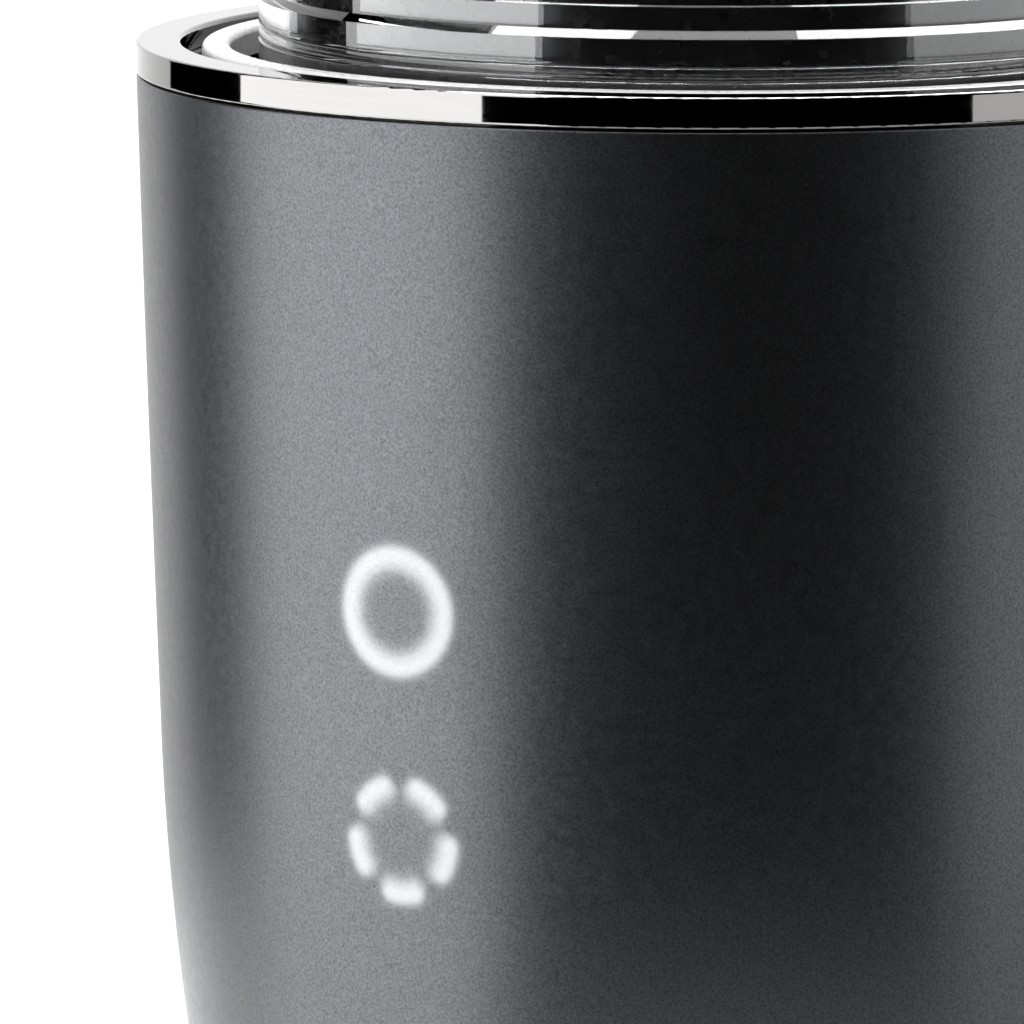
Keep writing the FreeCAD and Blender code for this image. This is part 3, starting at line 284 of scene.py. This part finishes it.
def bands(tree, axis, scale, distortion=0.0):
    """Even bands across one axis, from 0 to 1; a larger scale gives finer bands."""
    node = tree.nodes.new("ShaderNodeTexWave")
    node.wave_type = "BANDS"
    node.bands_direction = axis
    node.inputs["Scale"].default_value = scale
    node.inputs["Distortion"].default_value = distortion
    tree.links.new(place(tree), node.inputs["Vector"])
    return node.outputs["Fac"]


def spread(tree, value, low, high, out_low=0.0, out_high=1.0):
    """Value mapped from one range to another."""
    node = tree.nodes.new("ShaderNodeMapRange")
    tree.links.new(value, node.inputs["Value"])
    node.inputs["From Min"].default_value = low
    node.inputs["From Max"].default_value = high
    node.inputs["To Min"].default_value = out_low
    node.inputs["To Max"].default_value = out_high
    return node.outputs["Result"]


def mix_color(tree, share, first, second):
    """Mix of two colours, each a tuple or a socket."""
    node = tree.nodes.new("ShaderNodeMix")
    node.data_type = "RGBA"
    tree.links.new(share, node.inputs["Factor"])
    for name, value in (("A", first), ("B", second)):
        socket = [s for s in node.inputs if s.name == name and s.type == "RGBA"][0]
        if isinstance(value, tuple):
            socket.default_value = (*value, 1.0)
        else:
            tree.links.new(value, socket)
    return [s for s in node.outputs if s.type == "RGBA"][0]


def set_color(tree, shader, share, first, second):
    """Base colour between two colours."""
    tree.links.new(mix_color(tree, share, first, second), shader.inputs["Base Color"])


def set_bump(tree, shader, height, depth):
    """Bump of a real depth in metres."""
    node = tree.nodes.new("ShaderNodeBump")
    node.inputs["Distance"].default_value = depth
    node.inputs["Strength"].default_value = 1.0
    tree.links.new(height, node.inputs["Height"])
    tree.links.new(node.outputs["Normal"], shader.inputs["Normal"])


def set_roughness(tree, shader, value, low, high):
    """Roughness that follows a value between two limits."""
    tree.links.new(spread(tree, value, 0.3, 0.7, low, high), shader.inputs["Roughness"])


# ---- lit rings ------------------------------------------------------------------------------

GLOW_OUT = 0.0013              # distance from the middle of the stroke to the half-bright line
GLOW_SOFT_OUT = 0.0006         # softness of the outer edge
GLOW_SOFT_IN = 0.0011          # softness of the inner edge
GLOW_TURN = 0.0004             # width over which the inner softness turns into the outer one
GLOW_FALL = 2.2                # how steeply the glow falls over one softness
GLOW_LIGHT = 0.70
PULSE_CORE = math.radians(14)  # half angle of a segment before its round end
PULSE_STEP = math.radians(72)


def length_of(tree, first, second):
    """Length of a two-part vector."""
    squares = math_node(tree, "ADD", math_node(tree, "MULTIPLY", first, first),
                        math_node(tree, "MULTIPLY", second, second))
    return math_node(tree, "SQRT", squares)


def ring_glow(tree, x, up, core_half):
    """Glow of a ring, or of five segments when core_half is given, at a point (x, up) from its centre."""
    radius = length_of(tree, x, up)
    offset = math_node(tree, "SUBTRACT", radius, RING_R)
    if core_half is None:
        distance = math_node(tree, "ABSOLUTE", offset)
    else:
        angle = math_node(tree, "ARCTAN2", up, x)
        turned = math_node(tree, "ADD", angle, math.radians(90) + PULSE_STEP / 2)
        wrapped = math_node(tree, "FLOORED_MODULO", turned, PULSE_STEP)
        within = math_node(tree, "ABSOLUTE", math_node(tree, "SUBTRACT", wrapped, PULSE_STEP / 2))
        past = math_node(tree, "MAXIMUM", math_node(tree, "SUBTRACT", within, core_half), 0.0)
        reach = math_node(tree, "MULTIPLY", radius, math_node(tree, "COSINE", past))
        along = math_node(tree, "SUBTRACT", reach, RING_R)
        across = math_node(tree, "MULTIPLY", radius, math_node(tree, "SINE", past))
        distance = length_of(tree, along, across)
    outside = spread(tree, offset, -GLOW_TURN, GLOW_TURN)
    soft = spread(tree, outside, 0.0, 1.0, GLOW_SOFT_IN, GLOW_SOFT_OUT)
    edge = math_node(tree, "DIVIDE", math_node(tree, "SUBTRACT", distance, GLOW_OUT), soft)
    raised = math_node(tree, "POWER", math.e, math_node(tree, "MULTIPLY", edge, GLOW_FALL))
    return math_node(tree, "DIVIDE", 1.0, math_node(tree, "ADD", raised, 1.0))


def front_glow(tree):
    """Glow of both rings on the front of the shell, from 0 to 1."""
    parts = tree.nodes.new("ShaderNodeSeparateXYZ")
    tree.links.new(place(tree), parts.inputs[0])
    x, y, z = parts.outputs
    start = ring_glow(tree, x, math_node(tree, "SUBTRACT", z, START_RING_Z), None)
    pulse = ring_glow(tree, x, math_node(tree, "SUBTRACT", z, PULSE_RING_Z), PULSE_CORE)
    both = math_node(tree, "MAXIMUM", start, pulse)
    in_front = math_node(tree, "LESS_THAN", y, 0.0)
    return math_node(tree, "MULTIPLY", both, in_front)


# ---- materials ------------------------------------------------------------------------------

def charcoal_paint(name):
    """Satin charcoal paint with fine metallic grain, lit from behind at the two rings."""
    material, tree, shader = principled(name)
    grain = noise(tree, 3600.0, 1.0)
    cloud = noise(tree, 14.0, 3.0)
    tone = math_node(tree, "ADD", math_node(tree, "MULTIPLY", spread(tree, grain, 0.25, 0.75), 0.9),
                     math_node(tree, "MULTIPLY", cloud, 0.1))
    set_color(tree, shader, tone, (0.046, 0.048, 0.051), (0.094, 0.097, 0.103))
    set_roughness(tree, shader, noise(tree, 900.0, 2.0), 0.33, 0.38)
    shader.inputs["Metallic"].default_value = 1.0
    set_bump(tree, shader, noise(tree, 3400.0, 2.0), 0.000006)
    glow = front_glow(tree)
    shader.inputs["Emission Color"].default_value = (0.96, 0.975, 1.0, 1.0)
    tree.links.new(math_node(tree, "MULTIPLY", glow, GLOW_LIGHT), shader.inputs["Emission Strength"])
    return material


def chrome_trim():
    """Dark chrome with faint hairlines."""
    material, tree, shader = principled("chrome_trim")
    hair = noise(tree, 60.0, 4.0, stretched(tree, (1.0, 1.0, 40.0)))
    set_color(tree, shader, hair, (0.185, 0.183, 0.181), (0.205, 0.202, 0.199))
    set_roughness(tree, shader, hair, 0.025, 0.05)
    shader.inputs["Metallic"].default_value = 1.0
    set_bump(tree, shader, noise(tree, 120.0, 2.0), 0.0000012)
    return material


def clear_plastic():
    """Clear cup plastic with faint flow lines."""
    material, tree, shader = principled("clear_cup")
    flow = noise(tree, 30.0, 3.0, stretched(tree, (1.0, 1.0, 0.25)))
    set_color(tree, shader, flow, (0.895, 0.91, 0.925), (0.92, 0.93, 0.945))
    shader.inputs["Transmission Weight"].default_value = 1.0
    shader.inputs["IOR"].default_value = 1.55
    set_roughness(tree, shader, flow, 0.0, 0.012)
    set_bump(tree, shader, noise(tree, 90.0, 1.0), 0.000004)
    return material


def plastic(name, dark, light, rough, grain_scale, grain_depth):
    """Moulded plastic or rubber with fine grain and slight shade changes."""
    material, tree, shader = principled(name)
    cloud = noise(tree, 45.0, 3.0)
    grain = noise(tree, grain_scale, 3.0)
    set_color(tree, shader, spread(tree, cloud, 0.3, 0.7), dark, light)
    set_roughness(tree, shader, grain, rough - 0.06, rough + 0.06)
    set_bump(tree, shader, grain, grain_depth)
    return material


def metal(name, dark, light, rough, stretch, scale, depth):
    """Metal with a drawn, turned or cast grain."""
    material, tree, shader = principled(name)
    grain = noise(tree, scale, 4.0, stretched(tree, stretch))
    set_color(tree, shader, spread(tree, grain, 0.3, 0.7), dark, light)
    set_roughness(tree, shader, grain, rough - 0.06, rough + 0.06)
    shader.inputs["Metallic"].default_value = 1.0
    set_bump(tree, shader, grain, depth)
    return material


def grey(value, warm=0.0):
    """Near-neutral colour."""
    return (value * (1 + warm), value, value * (1 - warm))


def wound_copper(name, dark, light, axis, scale, depth):
    """Enamelled wire laid in turns, with painted shade as dark lines in the crevices between the strands.
    """
    material, tree, shader = principled(name)
    strands = bands(tree, axis, scale, 1.2)
    shade = noise(tree, 260.0, 3.0)
    # painted shade: the crevices between the strands are darkened to a quarter of the dark tone
    crevice_shade = spread(tree, strands, 0.05, 0.45)
    body = mix_color(tree, shade, dark, light)
    set_color(tree, shader, crevice_shade, tuple(part * 0.25 for part in dark), body)
    set_roughness(tree, shader, shade, 0.28, 0.40)
    shader.inputs["Metallic"].default_value = 1.0
    set_bump(tree, shader, strands, depth)
    return material


def circuit_board(name):
    """Green board with copper tracks under the solder mask."""
    material, tree, shader = principled(name)
    across = spread(tree, bands(tree, "X", 38.0, 0.0), 0.78, 0.84)
    upward = spread(tree, bands(tree, "Z", 26.0, 0.0), 0.80, 0.86)
    gate = spread(tree, noise(tree, 110.0, 1.0), 0.48, 0.52)
    tracks = math_node(tree, "MAXIMUM", math_node(tree, "MULTIPLY", across, gate),
                       math_node(tree, "MULTIPLY", upward, math_node(tree, "SUBTRACT", 1.0, gate)))
    set_color(tree, shader, tracks, (0.012, 0.085, 0.035), (0.045, 0.20, 0.075))
    set_roughness(tree, shader, noise(tree, 700.0, 2.0), 0.26, 0.36)
    set_bump(tree, shader, tracks, 0.00004)
    return material


def laminations(name):
    """Stack of thin steel sheets with a fine dark line at each joint."""
    material, tree, shader = principled(name)
    sheets = bands(tree, "Z", 95.0, 0.15)
    edge = spread(tree, sheets, 0.02, 0.30)
    grain = noise(tree, 900.0, 3.0)
    steel = mix_color(tree, grain, grey(0.26), grey(0.40))
    set_color(tree, shader, edge, grey(0.05), steel)
    set_roughness(tree, shader, grain, 0.36, 0.50)
    shader.inputs["Metallic"].default_value = 1.0
    set_bump(tree, shader, edge, 0.00003)
    return material


def finishes():
    """Every material by the record's slot name."""
    made = {
        "charcoal_paint": charcoal_paint("charcoal_paint"),
        "lit_lens": charcoal_paint("lit_lens"),
        "chrome_trim": chrome_trim(),
        "clear_cup": clear_plastic(),
        "green_board": circuit_board("green_board"),
        "laminated_steel": laminations("laminated_steel"),
        "copper_wire": wound_copper("copper_wire", (0.46, 0.16, 0.05), (0.70, 0.31, 0.12), "Z", 48.0,
                                    0.0001),
    }
    # slot: dark tone, light tone, roughness, grain scale, grain depth in metres
    plastics = {
        "black_gloss": (grey(0.008), grey(0.013), 0.12, 700.0, 0.0000008),
        "pale_dock": (grey(0.66, 0.01), grey(0.72, 0.01), 0.30, 1500.0, 0.000003),
        "black_rubber": (grey(0.014), grey(0.026), 0.72, 2200.0, 0.00002),
        "grey_rubber": (grey(0.27), grey(0.33), 0.55, 1800.0, 0.00001),
        "black_matte": (grey(0.016), grey(0.026), 0.55, 1600.0, 0.00002),
        "black_nylon": (grey(0.022), grey(0.034), 0.45, 900.0, 0.000008),
        "holder_black": (grey(0.006), grey(0.011), 0.24, 500.0, 0.000002),
        "white_nylon": (grey(0.72, 0.02), grey(0.80, 0.02), 0.42, 900.0, 0.000006),
        "carbon": (grey(0.02), grey(0.05), 0.60, 4000.0, 0.00001),
    }
    # slot: dark tone, light tone, roughness, stretch of the grain, grain scale, grain depth in metres
    metals = {
        "zinc_steel": (grey(0.55), grey(0.68), 0.34, (1, 1, 1), 700.0, 0.000004),
        "copper_bars": ((0.60, 0.28, 0.15), (0.72, 0.38, 0.22), 0.28, (0.05, 0.05, 1), 1500.0, 0.000006),
        "brass_parts": ((0.64, 0.46, 0.18), (0.75, 0.57, 0.27), 0.30, (1, 0.05, 1), 900.0, 0.000004),
        "bronze_bush": ((0.45, 0.30, 0.15), (0.62, 0.44, 0.25), 0.42, (1, 1, 1), 2600.0, 0.000008),
        "bearing_steel": (grey(0.58), grey(0.72), 0.20, (0.05, 0.05, 1), 1600.0, 0.000003),
        "spring_steel": (grey(0.42), grey(0.56), 0.30, (1, 1, 1), 1200.0, 0.000004),
        "blade_steel": (grey(0.60), grey(0.74), 0.24, (0.3, 1, 1), 1400.0, 0.000004),
        "cast_alloy": (grey(0.48), grey(0.64), 0.45, (1, 1, 1), 650.0, 0.00003),
    }
    for slot, values in plastics.items():
        made[slot] = plastic(slot, *values)
    for slot, values in metals.items():
        made[slot] = metal(slot, *values)
    return made


def dress_cad_nodes():
    """Gives every CAD node the material of its slot."""
    made = finishes()
    for row in frame["record"]["subparts"]:
        for holder in nodes[row["node"]].material_slots:
            holder.material = made[row["material_slot"]]


add_camera()
add_studio()
dress_cad_nodes()
